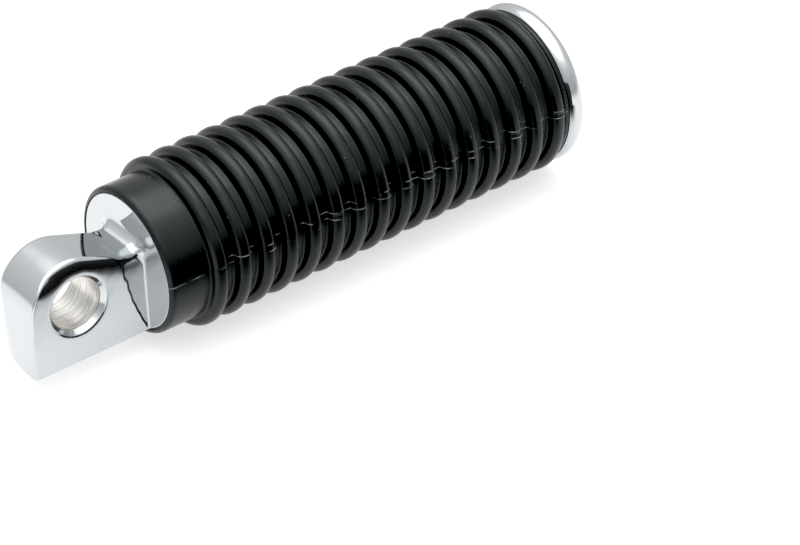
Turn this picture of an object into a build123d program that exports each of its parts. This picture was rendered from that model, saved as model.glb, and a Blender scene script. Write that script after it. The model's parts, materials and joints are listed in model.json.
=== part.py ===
"""Folding foot peg: cast core with a pivot tongue, ribbed rubber sleeve and domed end cap.

Frame, in millimetres: origin at the centre of the pivot bore, +X out along the peg to
the cap, +Y along the pivot pin, +Z up towards the crown of the tongue.
"""

import os

from build123d import *

INCH = 25.4
touch = 0.01

# Pivot tongue
tongue_thick = 7 / 16 * INCH
tongue_bottom = -11.3
tongue_spare = 6.0
end_x_side = -9.8
end_x_middle = -10.5
end_lean = 4.85
crown_center = Vector(-0.95, 0.75)
crown_r = 8.5
crown_fall = 19.9
valley_z = 6.0
valley_r = 4.0
tongue_edge_r = 1.2
neck_fillet_r = 1.8
heel_fillet_r = 1.0

# Pivot bore
bore_r = 5.0
bore_mouth_r = 5.9
bore_mouth_depth = 1.15

# Flange and spindle
axis_up = 0.32
flange_x = 13.75
flange_r = 12.7
flange_blank_r = 17.0
flange_thick = 4.0
spindle_r = 9.0

# Rubber sleeve
sleeve_start_x = 13.65
sleeve_end_x = 102.35
collar_edge_r = 1.0
root_r = 13.8
crest_r = 1.25 * INCH / 2
rib_count = 16
rib_pitch = 0.2 * INCH
first_rib_x = 23.36
rib_width = 2.9
rib_crest_fillet = 1.35
rib_root_fillet = 0.4
end_land_r = 14.8
end_land_x = 101.35

# End cap
cap_seat_r = 14.9
cap_r = 15.6
cap_rim_x = 104.1
cap_shoulder_x = 107.0
cap_shoulder_r = 12.0
cap_tip_x = 109.2

# Stud that holds the cap on the core
stud_r = 5 / 16 * INCH / 2
stud_in_core = 14.0
stud_in_cap = 3.5
stud_hole_spare = 2.0
stud_chamfer = 0.8

half_thick = tongue_thick / 2
flange_back_x = flange_x + flange_thick
last_rib_x = first_rib_x + (rib_count - 1) * rib_pitch
peg_axis = Axis((0, 0, axis_up), (1, 0, 0))
profile_plane = Plane(origin=(0, 0, axis_up), x_dir=(1, 0, 0), z_dir=(0, -1, 0))
flange_plane = Plane(origin=(flange_x, 0, axis_up), z_dir=(1, 0, 0))
cap_seat_plane = Plane(origin=(sleeve_end_x, 0, axis_up), z_dir=(1, 0, 0))

# Side outline of the tongue: an end line and a top line, both tangent to the crown
end_dir = Vector(0, 1).rotate(Axis.Z, -end_lean)
top_dir = Vector(1, 0).rotate(Axis.Z, -crown_fall)
crown_start = crown_center + end_dir.rotate(Axis.Z, 90) * crown_r
crown_top = crown_center + Vector(0, 1) * crown_r
crown_end = crown_center + top_dir.rotate(Axis.Z, 90) * crown_r
top_drop = crown_end.Y - valley_z - valley_r * (1 - top_dir.X)
valley_start = crown_end + top_dir * (top_drop / abs(top_dir.Y))
blank_bottom = tongue_bottom - tongue_spare
end_foot = crown_start - end_dir * ((crown_start.Y - blank_bottom) / end_dir.Y)

# ---------------------------------------------------------------- core casting
with BuildPart() as peg_core:
    with BuildSketch(Plane.XZ):
        with BuildLine():
            Line(end_foot, crown_start)
            ThreePointArc(crown_start, crown_top, crown_end)
            Line(crown_end, valley_start)
            valley = JernArc(valley_start, top_dir, valley_r, crown_fall)
            Line(valley @ 1, (flange_back_x, valley_z))
            Line((flange_back_x, valley_z), (flange_back_x, blank_bottom))
            Line((flange_back_x, blank_bottom), end_foot)
        make_face()
    extrude(amount=half_thick, both=True)

    outline_edges = (
        peg_core.edges()
        .filter_by(Plane.XZ)
        .filter_by_position(Axis.X, -2 * crown_r, flange_back_x, inclusive=(False, False))
        .filter_by_position(Axis.Z, blank_bottom, 2 * crown_r, inclusive=(False, True))
    )
    fillet(outline_edges, radius=tongue_edge_r)

    # The end of the tongue is an arc in plan, and its underside is flat
    with BuildSketch(Plane.XY.offset(tongue_bottom)):
        with BuildLine():
            ThreePointArc((end_x_side, half_thick), (end_x_middle, 0), (end_x_side, -half_thick))
            Line((end_x_side, -half_thick), (flange_back_x, -half_thick))
            Line((flange_back_x, -half_thick), (flange_back_x, half_thick))
            Line((flange_back_x, half_thick), (end_x_side, half_thick))
        make_face()
    extrude(amount=3 * crown_r, mode=Mode.INTERSECT)

    # The flange starts oversize, so the neck fillet is whole before it is turned down
    with BuildSketch(flange_plane):
        Circle(flange_blank_r)
    extrude(amount=flange_thick)
    neck_edges = (
        peg_core.edges()
        .filter_by_position(Axis.X, flange_x - touch, flange_x + touch)
        .filter_by_position(Axis.Z, tongue_bottom + touch, crown_r)
        .filter_by(lambda edge: edge.length < 2 * crown_r)
    )
    fillet(neck_edges, radius=neck_fillet_r)
    with BuildSketch(Plane.XZ):
        with BuildLine():
            heel_arc = RadiusArc(
                (flange_x - heel_fillet_r, tongue_bottom),
                (flange_x, tongue_bottom - heel_fillet_r),
                heel_fillet_r,
            )
            Polyline(heel_arc @ 1, (flange_x, tongue_bottom), heel_arc @ 0)
        make_face()
    extrude(amount=half_thick, both=True)
    with BuildSketch(flange_plane.offset(-neck_fillet_r)):
        Circle(2 * flange_blank_r)
        Circle(flange_r, mode=Mode.SUBTRACT)
    extrude(amount=neck_fillet_r + flange_thick, mode=Mode.SUBTRACT)

    with BuildSketch(flange_plane.offset(flange_thick)):
        Circle(spindle_r)
    extrude(amount=sleeve_end_x - flange_back_x)

    with BuildSketch(Plane.XY):
        with BuildLine():
            Polyline(
                (0, half_thick),
                (bore_mouth_r, half_thick),
                (bore_r, half_thick - bore_mouth_depth),
                (bore_r, bore_mouth_depth - half_thick),
                (bore_mouth_r, -half_thick),
                (0, -half_thick),
                close=True,
            )
        make_face()
    revolve(axis=Axis.Y, mode=Mode.SUBTRACT)

    with Locations(cap_seat_plane):
        Hole(stud_r, depth=stud_in_core + stud_hole_spare)
peg_core.part.label = "peg_core"

# --------------------------------------------------------------- rubber sleeve
with BuildPart() as rubber_sleeve:
    with BuildSketch(profile_plane) as rubber_profile:
        with BuildLine():
            Polyline(
                (sleeve_start_x, flange_r),
                (sleeve_start_x, root_r),
                (end_land_x, root_r),
                (end_land_x, end_land_r),
                (sleeve_end_x, end_land_r),
                (sleeve_end_x, spindle_r),
                (flange_back_x, spindle_r),
                (flange_back_x, flange_r),
                close=True,
            )
        make_face()
        collar_corner = rubber_profile.vertices().filter_by(
            lambda corner: corner.X < flange_x and corner.Y > root_r - touch
        )
        fillet(collar_corner, radius=collar_edge_r)
        for rib in range(rib_count):
            with Locations((first_rib_x + rib * rib_pitch, (spindle_r + crest_r) / 2)):
                Rectangle(rib_width, crest_r - spindle_r)
        rib_corners = rubber_profile.vertices().filter_by_position(
            Axis.Y, crest_r - touch, crest_r + touch
        )
        fillet(rib_corners, radius=rib_crest_fillet)
        groove_corners = (
            rubber_profile.vertices()
            .filter_by_position(Axis.Y, root_r - touch, root_r + touch)
            .filter_by(lambda corner: first_rib_x - rib_width < corner.X < last_rib_x)
        )
        fillet(groove_corners, radius=rib_root_fillet)
    revolve(axis=peg_axis)
rubber_sleeve.part.label = "rubber_sleeve"

# --------------------------------------------------------------------- end cap
with BuildPart() as end_cap:
    with BuildSketch(profile_plane):
        with BuildLine():
            Line((sleeve_end_x, 0), (sleeve_end_x, cap_seat_r))
            Spline(
                (sleeve_end_x, cap_seat_r),
                (cap_rim_x, cap_r),
                tangents=((1, 1), (1, 0)),
            )
            Spline(
                (cap_rim_x, cap_r),
                (cap_shoulder_x, cap_shoulder_r),
                (cap_tip_x, 0),
                tangents=((1, 0), (0, -1)),
            )
            Line((cap_tip_x, 0), (sleeve_end_x, 0))
        make_face()
    revolve(axis=peg_axis)
    with Locations(Plane(origin=cap_seat_plane.origin, z_dir=(-1, 0, 0))):
        Hole(stud_r, depth=stud_in_cap)
end_cap.part.label = "end_cap"

# -------------------------------------------------------------------- cap stud
with BuildPart() as cap_stud:
    with BuildSketch(cap_seat_plane.offset(-stud_in_core)):
        Circle(stud_r)
    extrude(amount=stud_in_core + stud_in_cap)
    chamfer(cap_stud.edges().filter_by(GeomType.CIRCLE), length=stud_chamfer)
cap_stud.part.label = "cap_stud"

os.makedirs("parts", exist_ok=True)
for piece in (peg_core, rubber_sleeve, end_cap, cap_stud):
    export_step(piece.part, f"parts/{piece.part.label}.step")
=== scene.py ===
"""Looks of the foot peg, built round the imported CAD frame.

The peg runs along +X, its pivot bore along +Y, and +Z is up. Shapes are worked out in millimetres, and
new_piece() turns them into metres. Names ending in _MM are millimetres. Stage and materials are in metres.
"""

import json
import math

import bpy
import numpy as np
from mathutils import Matrix, Vector, noise


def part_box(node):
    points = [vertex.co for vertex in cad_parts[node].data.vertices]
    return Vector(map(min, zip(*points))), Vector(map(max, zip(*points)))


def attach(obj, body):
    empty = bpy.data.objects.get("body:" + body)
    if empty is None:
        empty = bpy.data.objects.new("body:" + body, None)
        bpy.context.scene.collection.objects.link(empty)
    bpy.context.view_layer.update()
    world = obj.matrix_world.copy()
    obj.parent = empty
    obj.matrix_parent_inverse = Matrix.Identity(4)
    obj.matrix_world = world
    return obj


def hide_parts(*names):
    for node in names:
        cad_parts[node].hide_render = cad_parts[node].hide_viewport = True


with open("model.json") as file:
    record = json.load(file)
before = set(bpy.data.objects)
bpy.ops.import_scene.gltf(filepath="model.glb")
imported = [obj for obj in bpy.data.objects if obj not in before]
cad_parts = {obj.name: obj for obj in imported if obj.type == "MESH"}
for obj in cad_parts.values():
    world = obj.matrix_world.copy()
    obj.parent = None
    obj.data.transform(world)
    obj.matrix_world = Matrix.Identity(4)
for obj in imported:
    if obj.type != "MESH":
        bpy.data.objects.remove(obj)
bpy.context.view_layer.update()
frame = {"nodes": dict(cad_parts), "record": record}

MM = 0.001


def span_mm(node):
    """Where a CAD node starts and ends along the peg."""
    low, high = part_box(node)
    return round(low.x / MM, 3), round(high.x / MM, 3)


# Peg axis and rubber sleeve, as in the CAD parts
AXIS_UP_MM = 0.32
SLEEVE_START_MM, SLEEVE_END_MM = span_mm("rubber_sleeve")
COLLAR_EDGE_MM = 1.0
ROOT_R_MM = 13.8
CREST_R_MM = 15.875
RIB_COUNT = 16
RIB_PITCH_MM = 5.08
FIRST_RIB_MM = 23.36
RIB_WIDTH_MM = 2.9
RIB_CREST_FILLET_MM = 1.35
RIB_ROOT_FILLET_MM = 0.4
END_LAND_X_MM = SLEEVE_END_MM - 1.0
END_LAND_R_MM = 14.8

# Flange, spindle, stud hole and cap
FLANGE_X_MM = SLEEVE_START_MM + 0.1
FLANGE_R_MM = 12.7
FLANGE_BACK_MM = FLANGE_X_MM + 4.0
SPINDLE_R_MM = 9.0
STUD_R_MM = 3.96875
STUD_HOLE_MM = 16.0
STUD_IN_CAP_MM = 3.5
CAP_SEAT_R_MM = 14.9
CAP_RIM_MM = (104.1, 15.6)
CAP_SHOULDER_MM = (107.0, 12.0)
CAP_TIP_MM = span_mm("end_cap")[1]

# Tongue: side outline, end face and bore
HALF_THICK_MM = 5.55625
TONGUE_BOTTOM_MM = -11.3
END_LEAN_DEG = 4.85
CROWN_MM = (-0.95, 0.75)
CROWN_R_MM = 8.5
CROWN_FALL_DEG = 19.9
VALLEY_Z_MM = 6.0
VALLEY_R_MM = 4.0
END_X_MM = -10.42
END_ARC_R_MM = 15.5
END_ARC_Y_MM = -1.2
PIVOT_BORE = next(mount for mount in frame["record"]["mounts"] if mount["name"] == "pivot_bore")
BORE_R_MM = PIVOT_BORE["dims"]["r_mm"]
BORE_MOUTH_R_MM = 5.9
BORE_MOUTH_DEPTH_MM = 1.15

# Hand polishing rolls the -Y cheek off towards the outline, the other much less, and dishes both at the bore.
# A fade is a place and a length along x or z, over which something comes in.
FRONT_EDGE_MM = 0.42
BACK_EDGE_MM = 1.1
NECK_EDGE_GAIN_MM = 1.0
NECK_EDGE_FADE_MM = (7.0, 5.5)
ROLL_SLOPE = 0.64
ROLL_REACH_MM = 1.45
ROLL_FADE_MM = (0.1, 5.0)
ROLL_FADE_LEAN = 0.55
BACK_ROLL_SHARE = 0.2
TOP_DROP_MM = 0.10
TOP_DROP_FADE_MM = (1.5, 4.5)
DISH_SLOPE = 0.30
DISH_REACH_MM = 0.35
BORE_EDGE_MM = 0.16
POLISH_MM = 0.007

# The lower end corner is ground away a little, more towards +Y
END_CORNER_MM = (0.3, 3.2)
END_EDGE_MM = 0.3

# The neck's fillet is large on top and small at the sides
NECK_TOP_FILLET_MM = 2.3
NECK_SIDE_FILLET_MM = 0.45
NECK_TOP_FADE_MM = (2.6, 3.2)
FLANGE_EDGE_MM = 0.22

# Unevenness of the moulded rubber: height and length of its waves and ripples
WAVE_MM = (0.035, 9.0)
RIPPLE_MM = (0.012, 2.2)

# The mould's parting plane holds the peg axis and is tilted about it.
# Its halves meet with a small step and swell, on a line that wanders a little.
PARTING_TILT = math.radians(7.14)
PARTING_STEP_MM = 0.03
PARTING_STEP_WIDTH_MM = 0.15
PARTING_SWELL_MM = 0.08
PARTING_SWELL_WIDTH_MM = 1.4
PARTING_WANDER_MM = (0.10, 2.3)
COLLAR_END_MM = 20.5

# Two thin broken lines of flash stand beside it, the lower one stronger on the collar. Some ribs are nicked.
FLASH_MM = 0.09
FLASH_RIB_GAIN_MM = 0.07
FLASH_WIDTH_MM = 0.085
FLASH_PATCHINESS = 2.6
UPPER_FLASH = {"at_mm": 0.70, "strength": 0.12, "on_collar": -0.6, "patch_mm": 1.3, "most": 0.85, "seed": 4}
LOWER_FLASH = {"at_mm": -0.55, "strength": 0.18, "on_collar": 0.6, "patch_mm": 1.6, "most": 0.9, "seed": 5}
NICK_MM = 0.20
NICK_AT_MM = 0.05
NICK_WIDTH_MM = 0.28
CREST_SPARE_MM = 0.004

GRID_MM = 0.2
SPINDLE_GRID_MM = 1.0
HOLE_GRID_MM = 0.4

# Camera: what it looks at, and from where, with a slight roll
CAMERA_AT = (0.04733, -0.03414, 0.00038)
CAMERA_DISTANCE = 0.600
CAMERA_AZIMUTH_DEG = -36.98
CAMERA_ELEVATION_DEG = 34.314
CAMERA_ROLL_DEG = -2.400
CAMERA_LENS_MM = 156.872

# The floor lies just under the ribs
FLOOR_Z = (AXIS_UP_MM - CREST_R_MM) * MM - 0.00002
FLOOR_HALF_SIDE = 3.0
FLOOR_GLOW = 0.62
PEG_MIDDLE_X = 0.05
FLAG_ENDS = ((-0.006, -0.0611, 0.0), (0.086, -0.0532, 0.0))
FLAG_R = 0.0158
SHADE_X = (-0.02, 0.110)
SHADE_FULL_X = (0.0, 0.085)
SHADE_Y = (-0.075, -0.010)
SHADE_DARK_Y = -0.0465
SHADE_LIFT = 0.0003
SHADE_DEPTH = [(0.0, 0.97), (0.22, 0.85), (0.38, 0.52), (0.55, 0.27), (0.8, 0.08), (1.0, 0.0)]

# Brightness of the studio against the height of the direction, behind the peg and in front of it
WORLD_STRENGTH = 2.0
REAR_LIGHT = [(0.0, 0.38), (0.30, 0.42), (0.56, 0.47), (0.66, 0.53), (0.80, 1.0)]
FRONT_LIGHT = [(0.0, 0.30), (0.30, 0.34), (0.50, 0.44), (0.64, 0.66), (0.75, 1.0)]
BLACK_LEVEL = 0.010


# ------------------------------------------------------------------ profiles
def rounded_profile(corners, longest_mm):
    """Closed outline through (x, r, fillet, segments) corners, with long runs divided."""
    count = len(corners)
    path = []
    for i, (x, r, fillet, segments) in enumerate(corners):
        here = np.array((x, r), float)
        before = np.array(corners[i - 1][:2], float) - here
        after = np.array(corners[(i + 1) % count][:2], float) - here
        before /= np.linalg.norm(before)
        after /= np.linalg.norm(after)
        half_angle = math.acos(float(np.clip(before @ after, -1, 1))) / 2
        reach = fillet / math.tan(half_angle)
        bisector = before + after
        bisector /= np.linalg.norm(bisector)
        centre = here + bisector * (fillet / math.sin(half_angle))
        start = here + before * reach - centre
        end = here + after * reach - centre
        sweep = math.atan2(start[0] * end[1] - start[1] * end[0], start @ end)
        for k in range(segments + 1):
            turn = sweep * k / segments
            c, s = math.cos(turn), math.sin(turn)
            path.append(centre + np.array((c * start[0] - s * start[1], s * start[0] + c * start[1])))
    divided = []
    for i, point in enumerate(path):
        following = path[(i + 1) % len(path)]
        pieces = max(1, math.ceil(np.linalg.norm(following - point) / longest_mm))
        divided += [point + (following - point) * k / pieces for k in range(pieces)]
    return np.array(divided)


def spline_through(points, start_tangent, end_tangent, samples):
    """C2 cubic through the points by chord length, with unit tangents given at its ends."""
    points = np.array(points, float)
    chords = np.linalg.norm(np.diff(points, axis=0), axis=1)
    count = len(points)
    system = np.zeros((count, count))
    right = np.zeros((count, 2))
    system[0, 0] = system[-1, -1] = 1
    right[0] = np.array(start_tangent, float) / np.linalg.norm(start_tangent)
    right[-1] = np.array(end_tangent, float) / np.linalg.norm(end_tangent)
    for i in range(1, count - 1):
        h0, h1 = chords[i - 1], chords[i]
        system[i, i - 1 : i + 2] = (h1, 2 * (h0 + h1), h0)
        right[i] = 3 * (h1 / h0 * (points[i] - points[i - 1]) + h0 / h1 * (points[i + 1] - points[i]))
    slopes = np.linalg.solve(system, right)
    path = []
    for i in range(count - 1):
        h = chords[i]
        for t in np.linspace(0, 1, samples, endpoint=False):
            path.append(
                (2 * t**3 - 3 * t**2 + 1) * points[i]
                + (t**3 - 2 * t**2 + t) * h * slopes[i]
                + (3 * t**2 - 2 * t**3) * points[i + 1]
                + (t**3 - t**2) * h * slopes[i + 1]
            )
    path.append(points[-1])
    return np.array(path)


def sleeve_profile():
    """Half section of the rubber sleeve as (x, r) points, each corner rounded."""
    corners = [
        (SLEEVE_START_MM, FLANGE_R_MM, 0.12, 2),
        (SLEEVE_START_MM, ROOT_R_MM, COLLAR_EDGE_MM, 6),
    ]
    for rib in range(RIB_COUNT):
        middle = FIRST_RIB_MM + rib * RIB_PITCH_MM
        left, right = middle - RIB_WIDTH_MM / 2, middle + RIB_WIDTH_MM / 2
        corners += [
            (left, ROOT_R_MM, RIB_ROOT_FILLET_MM, 4),
            (left, CREST_R_MM, RIB_CREST_FILLET_MM, 9),
            (right, CREST_R_MM, RIB_CREST_FILLET_MM, 9),
            (right, ROOT_R_MM, RIB_ROOT_FILLET_MM if rib < RIB_COUNT - 1 else 0.15, 4),
        ]
    corners += [
        (END_LAND_X_MM, ROOT_R_MM, 0.15, 3),
        (END_LAND_X_MM, END_LAND_R_MM, 0.2, 3),
        (SLEEVE_END_MM, END_LAND_R_MM, 0.1, 2),
        (SLEEVE_END_MM, SPINDLE_R_MM, 0.1, 2),
        (FLANGE_BACK_MM, SPINDLE_R_MM, 0.1, 2),
        (FLANGE_BACK_MM, FLANGE_R_MM, 0.1, 2),
    ]
    return rounded_profile(corners, longest_mm=0.6)


# -------------------------------------------------------------------- meshes
def new_piece(name, points_mm, faces, material):
    mesh = bpy.data.meshes.new(name)
    mesh.from_pydata((np.asarray(points_mm) * MM).tolist(), [], faces)
    mesh.polygons.foreach_set("use_smooth", [True] * len(mesh.polygons))
    mesh.materials.append(material)
    mesh.update()
    piece = bpy.data.objects.new(name, mesh)
    bpy.context.scene.collection.objects.link(piece)
    return piece


def ring_faces(rows, columns, closed_rows):
    """Quads of a grid of rows round the axis; the profile closes on itself if closed_rows."""
    faces = []
    last = rows if closed_rows else rows - 1
    for i in range(last):
        j = (i + 1) % rows
        for k in range(columns):
            m = (k + 1) % columns
            faces.append((i * columns + k, i * columns + m, j * columns + m, j * columns + k))
    return faces


def ring_grid(profile, theta):
    """x, radius and angle of every point of a profile turned through the angles."""
    rows, columns = len(profile), len(theta)
    x = np.repeat(profile[:, :1], columns, axis=1)
    r = np.repeat(profile[:, 1:], columns, axis=1)
    return x, r, np.repeat(theta[None, :], rows, axis=0)


def on_ring(x, r, theta):
    """Points at radius r round the peg axis; theta is 0 on the -Y side and grows towards +Z."""
    return np.stack([x, -r * np.cos(theta), AXIS_UP_MM + r * np.sin(theta)], axis=-1)


def field(points, scale, seed):
    """Smooth noise from -1 to 1 at each point, with features about scale millimetres across."""
    shift = Vector((seed * 17.3, seed * 5.1, seed * 9.7))
    flat = points.reshape(-1, 3) / scale
    values = np.array([noise.noise(Vector(p) + shift) for p in flat])
    return values.reshape(points.shape[:-1])


def ring_angles(coarse_deg, fine_deg, fine_half_deg):
    """Angles round the axis, closely spaced at both parting lines."""
    parting = math.degrees(PARTING_TILT)
    fine = np.arange(-fine_half_deg, fine_half_deg + fine_deg / 2, fine_deg)
    plain = np.arange(fine_half_deg + coarse_deg / 2, 180 - fine_half_deg, coarse_deg)
    half_turn = np.concatenate([fine, plain])
    return np.radians(np.concatenate([parting + half_turn, parting + 180 + half_turn]))


def bell(distance, width):
    """1 at no distance, falling to 1/e at width on either side."""
    return np.exp(-((distance / width) ** 2))


def flash_line(line, along, at_mm, strength, on_collar, patch_mm, most, seed):
    """How strongly a broken line of flash stands at each point, at a distance of line from its plane."""
    patches = FLASH_PATCHINESS * field(along, patch_mm, seed)
    share = strength + on_collar * (along[..., 0] < COLLAR_END_MM) + patches
    return np.clip(share, 0, most) * bell(line - at_mm, FLASH_WIDTH_MM)


def make_sleeve(material):
    profile = sleeve_profile()
    theta = ring_angles(coarse_deg=1.25, fine_deg=0.12, fine_half_deg=4.4)
    x, r, turn = ring_grid(profile, theta)
    rest = on_ring(x, r, turn)

    # Outward normal of the profile, from its neighbours, and the part of it that shows
    tangent = np.roll(profile, -1, axis=0) - np.roll(profile, 1, axis=0)
    tangent /= np.linalg.norm(tangent, axis=1)[:, None]
    normal = np.stack([-tangent[:, 1], tangent[:, 0]], axis=1)
    shows = (profile[:, 1] > FLANGE_R_MM + 0.3) & (profile[:, 0] < SLEEVE_END_MM - 0.3)
    shows = shows[:, None]

    wave = WAVE_MM[0] * field(rest, WAVE_MM[1], seed=1) + RIPPLE_MM[0] * field(rest, RIPPLE_MM[1], seed=2)

    # Distance round the sleeve from the nearer parting line; the two lines have marks of their own
    from_line = np.arcsin(np.clip(np.sin(turn - PARTING_TILT), -1, 1)) * r
    far_line = np.cos(turn - PARTING_TILT) < 0
    along = np.stack([x, 0 * x + 40 * far_line, 0 * x], axis=-1)
    wandering = from_line - PARTING_WANDER_MM[0] * field(along, PARTING_WANDER_MM[1], seed=3)
    rib_share = np.clip((r - ROOT_R_MM) / (CREST_R_MM - ROOT_R_MM), 0, 1)
    flash = flash_line(wandering, along, **UPPER_FLASH) + flash_line(wandering, along, **LOWER_FLASH)
    ridge = (FLASH_MM + FLASH_RIB_GAIN_MM * rib_share) * flash
    cut = np.clip(-0.2 + 2.2 * field(along, 2.1, seed=6), 0, 1) * rib_share
    nick = NICK_MM * cut * bell(wandering - NICK_AT_MM, NICK_WIDTH_MM)

    push = shows * (wave + ridge - nick)
    step = PARTING_STEP_MM * np.tanh(from_line / PARTING_STEP_WIDTH_MM) * shows
    x = x + push * normal[:, :1] + step
    r = r + push * normal[:, 1:]

    # The ribs stay inside the CAD box, which leaves a little room only near the parting lines
    largest = CREST_R_MM - CREST_SPARE_MM
    swell = PARTING_SWELL_MM * bell(from_line, PARTING_SWELL_WIDTH_MM)
    in_box = largest / np.maximum(np.abs(np.cos(turn)), 0.9)
    r = np.minimum(r, np.minimum(largest + swell, in_box))

    points = on_ring(x, r, turn).reshape(-1, 3)
    outward = [face[::-1] for face in ring_faces(len(profile), len(theta), True)]
    sleeve = new_piece("rubber_sleeve_ribbed", points, outward, material)
    stored = sleeve.data.attributes.new("flash", "FLOAT", "POINT")
    stored.data.foreach_set("value", (shows * np.clip(flash, 0, 1)).astype(np.float32).ravel())
    return sleeve


def make_cap(material):
    rim = spline_through([(SLEEVE_END_MM, CAP_SEAT_R_MM), CAP_RIM_MM], (1, 1), (1, 0), 10)
    dome = spline_through([CAP_RIM_MM, CAP_SHOULDER_MM, (CAP_TIP_MM, 0)], (1, 0), (0, -1), 34)
    seat_radii = np.linspace(CAP_SEAT_R_MM - 0.2, STUD_R_MM + 0.3, 8)
    seat = [(SLEEVE_END_MM, radius) for radius in seat_radii]
    hole_end_mm = SLEEVE_END_MM + STUD_IN_CAP_MM
    hole = [(SLEEVE_END_MM, STUD_R_MM), (hole_end_mm, STUD_R_MM)]
    profile = np.concatenate([dome[::-1][1:], rim[::-1][1:], seat, hole])
    theta = np.linspace(0, 2 * math.pi, 256, endpoint=False)
    rows, columns = len(profile), len(theta)
    points = on_ring(*ring_grid(profile, theta)).reshape(-1, 3)
    tip, bottom = len(points), len(points) + 1
    points = np.vstack([points, (CAP_TIP_MM, 0, AXIS_UP_MM), (hole_end_mm, 0, AXIS_UP_MM)])
    faces = ring_faces(rows, columns, False)
    last = (rows - 1) * columns
    for k in range(columns):
        m = (k + 1) % columns
        faces.append((tip, m, k))
        faces.append((bottom, last + k, last + m))
    cap = new_piece("end_cap_domed", points, faces, material)
    cap.data.set_sharp_from_angle(angle=math.radians(35))
    return cap


# ------------------------------------------------------- polished pivot casting
def round_meet(a, b, radius):
    """Both a and b inside, with the edge between them rounded."""
    beyond = np.hypot(np.maximum(radius + a, 0), np.maximum(radius + b, 0))
    return np.minimum(-radius, np.maximum(a, b)) + beyond


def round_join(a, b, radius):
    """Either a or b inside, with a fillet where they meet."""
    beyond = np.hypot(np.maximum(radius - a, 0), np.maximum(radius - b, 0))
    return np.maximum(radius, np.minimum(a, b)) - beyond


def fade(value, start, length):
    """Smooth step from 0 at start to 1 a length further on."""
    t = np.clip((value - start) / length, 0, 1)
    return t * t * (3 - 2 * t)


def outline_distance(x, z):
    """Signed distance to the tongue's side outline: end line, crown, top line, valley and flat."""
    end_turn, top_turn = math.radians(END_LEAN_DEG), math.radians(CROWN_FALL_DEG)
    end_n = (-math.cos(end_turn), math.sin(end_turn))
    top_n = (math.sin(top_turn), math.cos(top_turn))
    cx, cz = x - CROWN_MM[0], z - CROWN_MM[1]
    end_d = end_n[0] * cx + end_n[1] * cz
    top_d = top_n[0] * cx + top_n[1] * cz
    in_crown = (top_n[0] * cz - top_n[1] * cx >= 0) & (cx * end_n[1] - cz * end_n[0] >= 0)
    convex = np.where(in_crown, np.hypot(cx, cz), np.maximum(end_d, top_d)) - CROWN_R_MM
    valley_z = VALLEY_Z_MM + VALLEY_R_MM
    reach = CROWN_R_MM + VALLEY_R_MM - top_n[1] * (valley_z - CROWN_MM[1])
    valley_x = CROWN_MM[0] + reach / top_n[0]
    vx, vz = x - valley_x, z - valley_z
    in_valley = (vx <= 0) & (top_n[1] * vx - top_n[0] * vz >= 0)
    valley_or_crown = np.where(in_valley, VALLEY_R_MM - np.hypot(vx, vz), convex)
    return np.where(vx > 0, z - VALLEY_Z_MM, valley_or_crown)


def polish_waves(x, y, z):
    """Faint unevenness of a hand-polished face, in waves a few millimetres long."""
    broad = np.sin(1.13 * x + 0.42 * z + 0.7) * np.sin(0.31 * x - 0.97 * z + 0.9 * y)
    close = np.sin(1.9 * z - 0.8 * x + 2.1) * np.cos(1.3 * x + 1.1 * y + 0.4)
    return POLISH_MM * (broad + 0.6 * close)


def tongue(x, y, z):
    """Implicit shape of the tongue, without its bore."""
    side = np.abs(y)
    front = y < 0
    drop = TOP_DROP_MM * (np.maximum(-y, 0) / HALF_THICK_MM) ** 2 * fade(z, *TOP_DROP_FADE_MM)
    outline = outline_distance(x, z) + drop
    depth = np.maximum(-outline, 0)
    rolled = ROLL_SLOPE * ROLL_REACH_MM * np.exp(-depth / ROLL_REACH_MM)
    rolled = rolled * np.where(front, 1.0, BACK_ROLL_SHARE) * fade(z + ROLL_FADE_LEAN * x, *ROLL_FADE_MM)
    from_mouth = np.maximum(np.hypot(x, z) - BORE_MOUTH_R_MM, 0)
    dished = DISH_SLOPE * DISH_REACH_MM * np.exp(-from_mouth / DISH_REACH_MM)
    cheek = side - (HALF_THICK_MM - rolled - dished) + polish_waves(x, y, z)
    edge = np.where(front, FRONT_EDGE_MM, BACK_EDGE_MM) + NECK_EDGE_GAIN_MM * fade(x, *NECK_EDGE_FADE_MM)
    body = round_meet(outline, cheek, edge)

    end_face = np.hypot(x - END_ARC_R_MM - END_X_MM, y - END_ARC_Y_MM) - END_ARC_R_MM
    towards_back = np.clip((y + HALF_THICK_MM) / (2 * HALF_THICK_MM), 0, 1)
    corner = END_CORNER_MM[0] + (END_CORNER_MM[1] - END_CORNER_MM[0]) * towards_back
    return round_meet(body, round_meet(end_face, TONGUE_BOTTOM_MM - z, corner), END_EDGE_MM)


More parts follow.
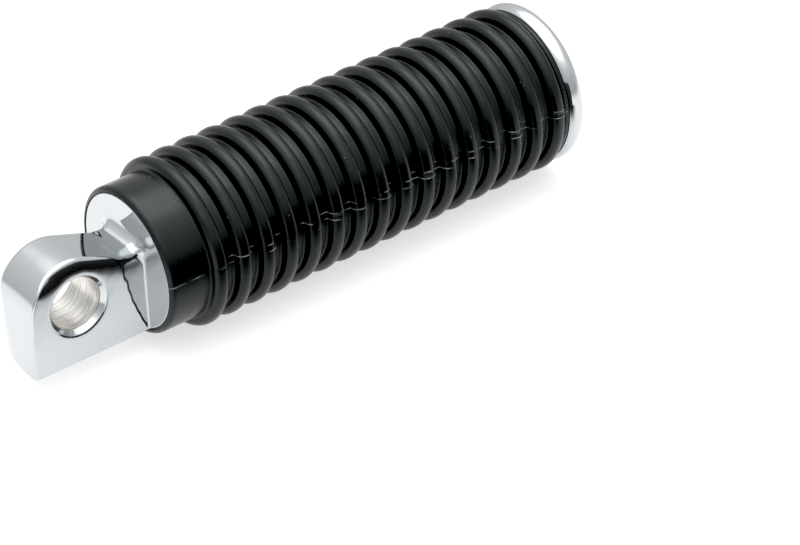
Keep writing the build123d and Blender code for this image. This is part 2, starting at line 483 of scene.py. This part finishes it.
def casting(x, y, z):
    """Implicit shape of the whole casting, below zero inside."""
    around = np.hypot(y, z - AXIS_UP_MM)
    slab = FLANGE_X_MM - x + 0.5 * POLISH_MM * np.sin(0.9 * y + 0.5) * np.sin(0.8 * z - 0.3 * y)
    on_top = fade(z, *NECK_TOP_FADE_MM)
    neck_fillet = NECK_SIDE_FILLET_MM + (NECK_TOP_FILLET_MM - NECK_SIDE_FILLET_MM) * on_top
    body = round_join(tongue(x, y, z), slab, neck_fillet)
    turned = np.minimum(around - FLANGE_R_MM, x - (FLANGE_X_MM - NECK_TOP_FILLET_MM))
    body = round_meet(body, turned, FLANGE_EDGE_MM)
    body = np.maximum(body, x - FLANGE_BACK_MM)

    wall = BORE_R_MM - np.hypot(x, z)
    mouth_slope = (BORE_MOUTH_R_MM - BORE_R_MM) / BORE_MOUTH_DEPTH_MM
    mouth_depth = np.abs(y) - HALF_THICK_MM + BORE_MOUTH_DEPTH_MM
    mouth = (wall + mouth_slope * mouth_depth) / math.hypot(1, mouth_slope)
    body = round_meet(body, round_meet(wall, mouth, 0.0), BORE_EDGE_MM)

    spindle_ends = np.maximum(FLANGE_BACK_MM - 1 - x, x - SLEEVE_END_MM)
    body = np.minimum(body, np.maximum(around - SPINDLE_R_MM, spindle_ends))
    stud_hole = np.minimum(STUD_R_MM - around, x - (SLEEVE_END_MM - STUD_HOLE_MM))
    return np.maximum(body, stud_hole)


def slope_of(shape, points, step):
    """Gradient of an implicit shape at each point."""
    slope = np.empty_like(points)
    for axis in range(3):
        shift = np.zeros(3)
        shift[axis] = step
        slope[:, axis] = (shape(*(points + shift).T) - shape(*(points - shift).T)) / (2 * step)
    return slope


def crossing_points(grid, active, xs, ys, zs):
    """For each active cell, the middle of the places where its edges cross the surface."""
    corners = [(i, j, k) for i in (0, 1) for j in (0, 1) for k in (0, 1)]
    near = [active + np.array(corner) for corner in corners]
    places = [np.stack([xs[cell[:, 0]], ys[cell[:, 1]], zs[cell[:, 2]]], 1) for cell in near]
    values = [grid[tuple(cell.T)] for cell in near]
    total = np.zeros((len(active), 3))
    crossings = np.zeros(len(active))
    for a in range(8):
        for b in range(a + 1, 8):
            if sum(p != q for p, q in zip(corners[a], corners[b])) != 1:
                continue
            hit = (values[a] < 0) != (values[b] < 0)
            share = (values[a][hit] / (values[a][hit] - values[b][hit]))[:, None]
            total[hit] += places[a][hit] * (1 - share) + places[b][hit] * share
            crossings[hit] += 1
    return total / crossings[:, None]


def moved_onto(shape, points):
    """The points moved onto the surface of shape, in a few short Newton steps."""
    for _ in range(5):
        slope = slope_of(shape, points, 0.005)
        size = np.maximum((slope**2).sum(1), 0.05)
        move = slope * (shape(*points.T) / size)[:, None]
        length = np.linalg.norm(move, axis=1)[:, None]
        points = points - move * np.minimum(1, 0.12 / np.maximum(length, 1e-9))
    return points


def net_quads(inside, number):
    """One quad, facing outwards, round each grid edge that crosses the surface."""
    quads = []
    for axis in range(3):
        lower = np.take(inside, range(inside.shape[axis] - 1), axis)
        upper = np.take(inside, range(1, inside.shape[axis]), axis)
        others = [n for n in range(3) if n != axis]
        edges = np.argwhere(lower != upper)
        edges = edges[(edges[:, others] > 0).all(1)]
        going_out = lower[tuple(edges.T)]
        ring = []
        for du, dv in ((-1, -1), (0, -1), (0, 0), (-1, 0)):
            cell = edges.copy()
            cell[:, others[0]] += du
            cell[:, others[1]] += dv
            ring.append(number[tuple(cell.T)])
        ring = np.stack(ring, 1)
        flip = going_out if axis == 1 else ~going_out
        ring[flip] = ring[flip][:, ::-1]
        quads.append(ring)
    return np.concatenate(quads)


def surface_net(shape, xs, ys, zs):
    """Quad mesh of shape = 0 on a grid, with its points on the surface itself."""
    grid = shape(xs[:, None, None], ys[None, :, None], zs[None, None, :])
    inside = grid < 0
    nx, ny, nz = (n - 1 for n in grid.shape)
    corners_inside = np.zeros((nx, ny, nz), np.int8)
    for i in (0, 1):
        for j in (0, 1):
            for k in (0, 1):
                corners_inside += inside[i : i + nx, j : j + ny, k : k + nz]
    active = np.argwhere((corners_inside > 0) & (corners_inside < 8))
    number = np.full(corners_inside.shape, -1, np.int64)
    number[tuple(active.T)] = np.arange(len(active))
    points = moved_onto(shape, crossing_points(grid, active, xs, ys, zs))
    return points, net_quads(inside, number)


def make_casting(material):
    """The core, on a fine grid at the tongue and coarser along the hidden spindle."""
    fine = GRID_MM
    tongue_x = np.arange(END_X_MM - 0.55, FLANGE_BACK_MM + 0.5, fine)
    spindle_x = np.arange(tongue_x[-1] + fine, SLEEVE_END_MM - STUD_HOLE_MM - 1, SPINDLE_GRID_MM)
    hole_x = np.arange(spindle_x[-1] + 0.3, SLEEVE_END_MM + 0.6, HOLE_GRID_MM)
    across = np.arange(-FLANGE_R_MM - 0.43, FLANGE_R_MM + 0.43, fine)
    xs = np.concatenate([tongue_x, spindle_x, hole_x])
    points, quads = surface_net(casting, xs, across, across + AXIS_UP_MM)
    core = new_piece("peg_core_casting", points, quads.tolist(), material)
    slope = slope_of(casting, points, 0.012)
    slope /= np.maximum(np.linalg.norm(slope, axis=1), 1e-9)[:, None]
    core.data.normals_split_custom_set_from_vertices(slope.tolist())
    return core


# ----------------------------------------------------------------- materials
class Graph:
    """Short way to write a node tree."""

    def __init__(self, tree):
        self.tree = tree
        tree.nodes.clear()

    def add(self, kind, inputs=None, **settings):
        made = self.tree.nodes.new(kind)
        for key, value in settings.items():
            setattr(made, key, value)
        for key, value in (inputs or {}).items():
            self.put(made.inputs[key], value)
        return made

    def put(self, socket, value):
        if isinstance(value, bpy.types.NodeSocket):
            self.tree.links.new(value, socket)
        else:
            socket.default_value = value

    def math(self, operation, a, b=0.0, clamp=False):
        return self.add("ShaderNodeMath", {0: a, 1: b}, operation=operation, use_clamp=clamp).outputs[0]

    def length(self, a, b):
        squares = self.math("ADD", self.math("MULTIPLY", a, a), self.math("MULTIPLY", b, b))
        return self.math("SQRT", squares)

    def split(self, vector):
        return self.add("ShaderNodeSeparateXYZ", {0: vector}).outputs

    def join(self, x, y, z):
        return self.add("ShaderNodeCombineXYZ", {0: x, 1: y, 2: z}).outputs[0]

    def smooth_range(self, value, start, end, first=0.0, last=1.0):
        inputs = {0: value, 1: start, 2: end, 3: first, 4: last}
        return self.add("ShaderNodeMapRange", inputs, interpolation_type="SMOOTHSTEP").outputs[0]

    def ramp(self, value, stops):
        """Grey between (place, brightness) stops."""
        made = self.add("ShaderNodeValToRGB", {0: value})
        elements = made.color_ramp.elements
        while len(elements) < len(stops):
            elements.new(0.5)
        for element, (place, grey) in zip(elements, stops):
            element.position = place
            element.color = (grey, grey, grey, 1)
        return made.outputs[0]

    def mix(self, share, a, b):
        made = self.add("ShaderNodeMix", data_type="RGBA")
        self.put(made.inputs[0], share)
        self.put(made.inputs[6], a)
        self.put(made.inputs[7], b)
        return made.outputs[2]

    def noise(self, vector, scale, detail=2.0, rough=0.5):
        inputs = {"Vector": vector, "Scale": scale, "Detail": detail, "Roughness": rough}
        return self.add("ShaderNodeTexNoise", inputs).outputs[0]

    def bump(self, height, distance, normal=None):
        inputs = {"Height": height, "Distance": distance, "Strength": 1.0}
        if normal is not None:
            inputs["Normal"] = normal
        return self.add("ShaderNodeBump", inputs).outputs[0]


def new_material(name):
    material = bpy.data.materials.new(name)
    material.use_nodes = True
    graph = Graph(material.node_tree)
    shader = graph.add("ShaderNodeBsdfPrincipled")
    out = graph.add("ShaderNodeOutputMaterial")
    graph.tree.links.new(shader.outputs[0], out.inputs[0])
    place = graph.add("ShaderNodeTexCoord").outputs["Object"]
    return material, graph, shader, place


def rubber_dust(graph, place):
    """Sparse round specks, and finer powder in patches."""
    settings = {"Vector": place, "Scale": 620.0, "Randomness": 1.0}
    specks = graph.add("ShaderNodeTexVoronoi", settings, feature="F1")
    chance = graph.add("ShaderNodeSeparateColor", {0: specks.outputs["Color"]}).outputs[0]
    chosen = graph.math("GREATER_THAN", chance, 0.80)
    dot = graph.math("LESS_THAN", specks.outputs["Distance"], 0.075)
    powder = graph.ramp(graph.noise(place, 3300, 1.0, 0.4), [(0.70, 0.0), (0.80, 1.0)])
    patches = graph.ramp(graph.noise(place, 130, 2.0, 0.5), [(0.45, 0.0), (0.7, 1.0)])
    speck_share = graph.math("MULTIPLY", graph.math("MULTIPLY", chosen, dot), 0.55)
    powder_share = graph.math("MULTIPLY", graph.math("MULTIPLY", powder, patches), 0.22)
    return graph.math("ADD", speck_share, powder_share, clamp=True)


def rubber_material():
    """Satin black, turned round the axis, dusty, with pale worn flash."""
    material, graph, shader, place = new_material("rubber_satin")
    x, y, z = graph.split(place)
    up = graph.math("SUBTRACT", z, AXIS_UP_MM * MM)
    radius = graph.length(y, up)
    angle = graph.math("ARCTAN2", up, y)

    # Lines that run round the sleeve, as a lathe-turned mould leaves them
    lines_place = graph.join(
        graph.math("MULTIPLY", x, 5600),
        graph.math("MULTIPLY", radius, 2500),
        graph.math("MULTIPLY", angle, 1.3),
    )
    lines = graph.noise(lines_place, 1.0, 3.0, 0.6)
    grain = graph.noise(place, 5200, 3.0, 0.6)
    cloud = graph.noise(place, 260, 3.0, 0.55)

    flash = graph.add("ShaderNodeAttribute", attribute_name="flash").outputs["Fac"]
    flash_grain = graph.ramp(graph.noise(place, 1900, 2.0), [(0.30, 0.35), (0.6, 1.0)])
    worn = graph.math("MULTIPLY", flash, flash_grain)

    base = graph.mix(cloud, (0.0022, 0.0028, 0.0030, 1), (0.0046, 0.0056, 0.0058, 1))
    base = graph.mix(rubber_dust(graph, place), base, (0.16, 0.165, 0.165, 1))
    base = graph.mix(graph.math("MULTIPLY", worn, 0.9), base, (0.26, 0.28, 0.28, 1))
    graph.put(shader.inputs["Base Color"], base)
    rough = graph.math("ADD", graph.math("MULTIPLY", cloud, 0.12), 0.16)
    rough = graph.math("ADD", rough, graph.math("MULTIPLY", lines, 0.12))
    rough = graph.math("ADD", rough, graph.math("MULTIPLY", worn, -0.05))
    graph.put(shader.inputs["Roughness"], rough)
    shader.inputs["IOR"].default_value = 1.41
    shader.inputs["Specular Tint"].default_value = (0.90, 1.0, 0.985, 1)
    fine = graph.bump(grain, 0.000004)
    graph.put(shader.inputs["Normal"], graph.bump(lines, 0.000009, fine))
    return material


def chrome_material(name, bore):
    """Polished chrome with faint waves and hairlines, and a machined bore wall if bore."""
    material, graph, shader, place = new_material(name)
    waves = graph.noise(place, 170, 0.0, 0.4)
    cloud = graph.noise(place, 90, 3.0, 0.6)
    hairs_turn, hairs_scale = (0.35, 0.9, 0.5), (300, 300, 7000)
    hairs_map = graph.add("ShaderNodeMapping", {0: place, "Rotation": hairs_turn, "Scale": hairs_scale})
    hairs = graph.noise(hairs_map.outputs[0], 1.0, 2.0, 0.6)
    base = graph.mix(cloud, (0.525, 0.548, 0.562, 1), (0.565, 0.59, 0.605, 1))
    rough = graph.math("ADD", graph.math("MULTIPLY", cloud, 0.05), 0.035)
    normal = graph.bump(waves, 0.000005)
    normal = graph.bump(hairs, 0.0000006, normal)
    if bore:
        x, y, z = graph.split(place)
        inside = graph.math("LESS_THAN", graph.length(x, z), (BORE_R_MM + 0.06) * MM)
        turn = graph.math("ARCTAN2", z, x)
        rings_place = graph.join(graph.math("MULTIPLY", y, 3600), graph.math("MULTIPLY", turn, 1.1), 0.0)
        rings = graph.noise(rings_place, 1.0, 4.0, 0.65)
        streaks = graph.ramp(rings, [(0.36, 0.0), (0.64, 1.0)])
        wall = graph.mix(streaks, (0.40, 0.385, 0.36, 1), (0.84, 0.825, 0.80, 1))
        base = graph.mix(inside, base, wall)
        rough = graph.math("ADD", rough, graph.math("MULTIPLY", inside, 0.22))
        normal = graph.bump(graph.math("MULTIPLY", rings, inside), 0.00003, normal)
    graph.put(shader.inputs["Base Color"], base)
    graph.put(shader.inputs["Roughness"], rough)
    graph.put(shader.inputs["Normal"], normal)
    shader.inputs["Metallic"].default_value = 1.0
    return material


def steel_material():
    """Zinc-plated steel, with fine crystals."""
    material, graph, shader, place = new_material("zinc_steel")
    crystals = graph.noise(place, 1400, 3.0, 0.6)
    base = graph.mix(crystals, (0.50, 0.51, 0.53, 1), (0.66, 0.67, 0.69, 1))
    graph.put(shader.inputs["Base Color"], base)
    graph.put(shader.inputs["Roughness"], graph.math("ADD", graph.math("MULTIPLY", crystals, 0.2), 0.28))
    graph.put(shader.inputs["Normal"], graph.bump(crystals, 0.000004))
    shader.inputs["Metallic"].default_value = 1.0
    return material


# --------------------------------------------------------------------- stage
def stage_prop(name, points, faces, material):
    mesh = bpy.data.meshes.new(name)
    mesh.from_pydata([tuple(point) for point in points], [], faces)
    mesh.materials.append(material)
    prop = bpy.data.objects.new(name, mesh)
    bpy.context.scene.collection.objects.link(prop)
    return prop


def flat_sheet(xs, ys, height):
    """Corners of a level rectangle."""
    return [(xs[0], ys[0], height), (xs[1], ys[0], height), (xs[1], ys[1], height), (xs[0], ys[1], height)]


def only_in_reflections(prop):
    prop.visible_camera = False
    prop.visible_diffuse = False
    prop.visible_shadow = False
    prop.visible_transmission = False


def make_floor():
    """White floor with a painted pool of light: it glows a little near the peg, and its colour and glow fade
    away from it.
    """
    material, graph, shader, place = new_material("floor_white")
    tone = graph.noise(place, 3.0, 2.0)
    distance = {0: place, 1: (PEG_MIDDLE_X, 0.0, FLOOR_Z)}
    from_peg = graph.add("ShaderNodeVectorMath", distance, operation="DISTANCE").outputs["Value"]
    # Painted pool of light: base colour and glow are strongest near the peg and fade with distance
    near = graph.smooth_range(from_peg, 0.05, 0.42, 1.0, 0.55)
    sheet = graph.mix(tone, (0.50, 0.50, 0.50, 1), (0.52, 0.52, 0.52, 1))
    graph.put(shader.inputs["Base Color"], graph.mix(near, (0, 0, 0, 1), sheet))
    shader.inputs["Roughness"].default_value = 0.9
    shader.inputs["Specular IOR Level"].default_value = 0.0
    shader.inputs["Emission Color"].default_value = (1, 1, 1, 1)
    graph.put(shader.inputs["Emission Strength"], graph.math("MULTIPLY", near, FLOOR_GLOW))
    span = (-FLOOR_HALF_SIDE, FLOOR_HALF_SIDE)
    stage_prop("floor", flat_sheet(span, span, FLOOR_Z), [(0, 1, 2, 3)], material)


def make_flag():
    """A dark bar lying in front of the peg: only reflections see it."""
    material, graph, shader, place = new_material("flag_black")
    base = graph.mix(graph.noise(place, 40), (0.006, 0.006, 0.006, 1), (0.012, 0.012, 0.012, 1))
    graph.put(shader.inputs["Base Color"], base)
    shader.inputs["Roughness"].default_value = 0.8
    columns = 48
    points = []
    for end in FLAG_ENDS:
        for k in range(columns):
            a = 2 * math.pi * k / columns
            points.append(Vector(end) + Vector((0, FLAG_R * math.cos(a), FLAG_R * math.sin(a))))
    faces = []
    for k in range(columns):
        m = (k + 1) % columns
        faces.append((k, m, columns + m, columns + k))
    faces.append(tuple(range(columns)))
    faces.append(tuple(range(columns, 2 * columns)))
    only_in_reflections(stage_prop("flag", points, faces, material))


def make_shade():
    """Soft contact shade on the floor at the foot of the flag: only reflections see it."""
    material = bpy.data.materials.new("shade_soft")
    material.use_nodes = True
    graph = Graph(material.node_tree)
    x, y, _ = graph.split(graph.add("ShaderNodeTexCoord").outputs["Object"])
    share = graph.add("ShaderNodeMapRange", {0: y, 1: SHADE_DARK_Y, 2: SHADE_Y[1]}).outputs[0]
    dark = graph.ramp(share, SHADE_DEPTH)
    start = graph.smooth_range(x, SHADE_X[0], SHADE_FULL_X[0])
    finish = graph.smooth_range(x, SHADE_X[1], SHADE_FULL_X[1])
    dark = graph.math("MULTIPLY", dark, graph.math("MULTIPLY", start, finish))
    clear = graph.add("ShaderNodeBsdfTransparent").outputs[0]
    black = graph.add("ShaderNodeBsdfDiffuse", {0: (0.01, 0.01, 0.01, 1)}).outputs[0]
    mixed = graph.add("ShaderNodeMixShader", {0: dark, 1: clear, 2: black}).outputs[0]
    out = graph.add("ShaderNodeOutputMaterial")
    graph.tree.links.new(mixed, out.inputs[0])
    corners = flat_sheet(SHADE_X, SHADE_Y, FLOOR_Z + SHADE_LIFT)
    only_in_reflections(stage_prop("flag_shade", corners, [(0, 1, 2, 3)], material))


def make_world():
    world = bpy.data.worlds.new("studio")
    bpy.context.scene.world = world
    world.use_nodes = True
    graph = Graph(world.node_tree)
    x, y, up = graph.split(graph.add("ShaderNodeTexCoord").outputs["Generated"])
    rear = graph.ramp(up, REAR_LIGHT)
    front = graph.ramp(up, FRONT_LIGHT)
    forward = graph.math("ADD", graph.math("MULTIPLY", y, -1.0), graph.math("MULTIPLY", x, -0.6))
    light = graph.mix(graph.smooth_range(forward, 0.24, 0.50), rear, front)
    background = graph.add("ShaderNodeBackground", {0: light, 1: WORLD_STRENGTH})
    out = graph.add("ShaderNodeOutputWorld")
    graph.tree.links.new(background.outputs[0], out.inputs[0])


def area_light(name, location, target, size, power):
    data = bpy.data.lights.new(name, "AREA")
    data.shape = "RECTANGLE"
    data.size, data.size_y = size
    data.energy = power
    lamp = bpy.data.objects.new(name, data)
    lamp.location = location
    lamp.rotation_mode = "QUATERNION"
    lamp.rotation_quaternion = (Vector(target) - Vector(location)).to_track_quat("-Z", "Y")
    bpy.context.scene.collection.objects.link(lamp)


def make_camera():
    data = bpy.data.cameras.new("camera")
    data.sensor_width = 36.0
    data.lens = CAMERA_LENS_MM
    data.clip_start, data.clip_end = 0.01, 20.0
    camera = bpy.data.objects.new("camera", data)
    azimuth = Matrix.Rotation(math.radians(CAMERA_AZIMUTH_DEG), 4, "Z")
    tilt = Matrix.Rotation(math.radians(90 - CAMERA_ELEVATION_DEG), 4, "X")
    roll = Matrix.Rotation(math.radians(CAMERA_ROLL_DEG), 4, "Z")
    away = Matrix.Translation((0, 0, CAMERA_DISTANCE))
    camera.matrix_world = Matrix.Translation(CAMERA_AT) @ azimuth @ tilt @ roll @ away
    bpy.context.scene.collection.objects.link(camera)
    bpy.context.scene.camera = camera


def set_print_look():
    """Plain colours, with blacks as deep as in print."""
    view = bpy.context.scene.view_settings
    view.view_transform = "Standard"
    view.look = "None"
    view.use_curve_mapping = True
    view.curve_mapping.black_level = (BLACK_LEVEL, BLACK_LEVEL, BLACK_LEVEL)
    view.curve_mapping.update()


set_print_look()
make_camera()
make_world()
make_floor()
make_flag()
make_shade()
area_light("softbox_top", location=(0.25, 0.10, 0.85), target=(0.04, 0.0, 0.0), size=(0.7, 0.7), power=3.0)

stud_mesh = frame["nodes"]["cap_stud"].data
stud_mesh.materials.clear()
stud_mesh.materials.append(steel_material())

core = make_casting(chrome_material("chrome_polished", bore=True))
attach(core, "root")
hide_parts("peg_core")

sleeve = make_sleeve(rubber_material())
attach(sleeve, "root")
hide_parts("rubber_sleeve")

cap = make_cap(chrome_material("chrome_cap", bore=False))
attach(cap, "root")
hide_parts("end_cap")
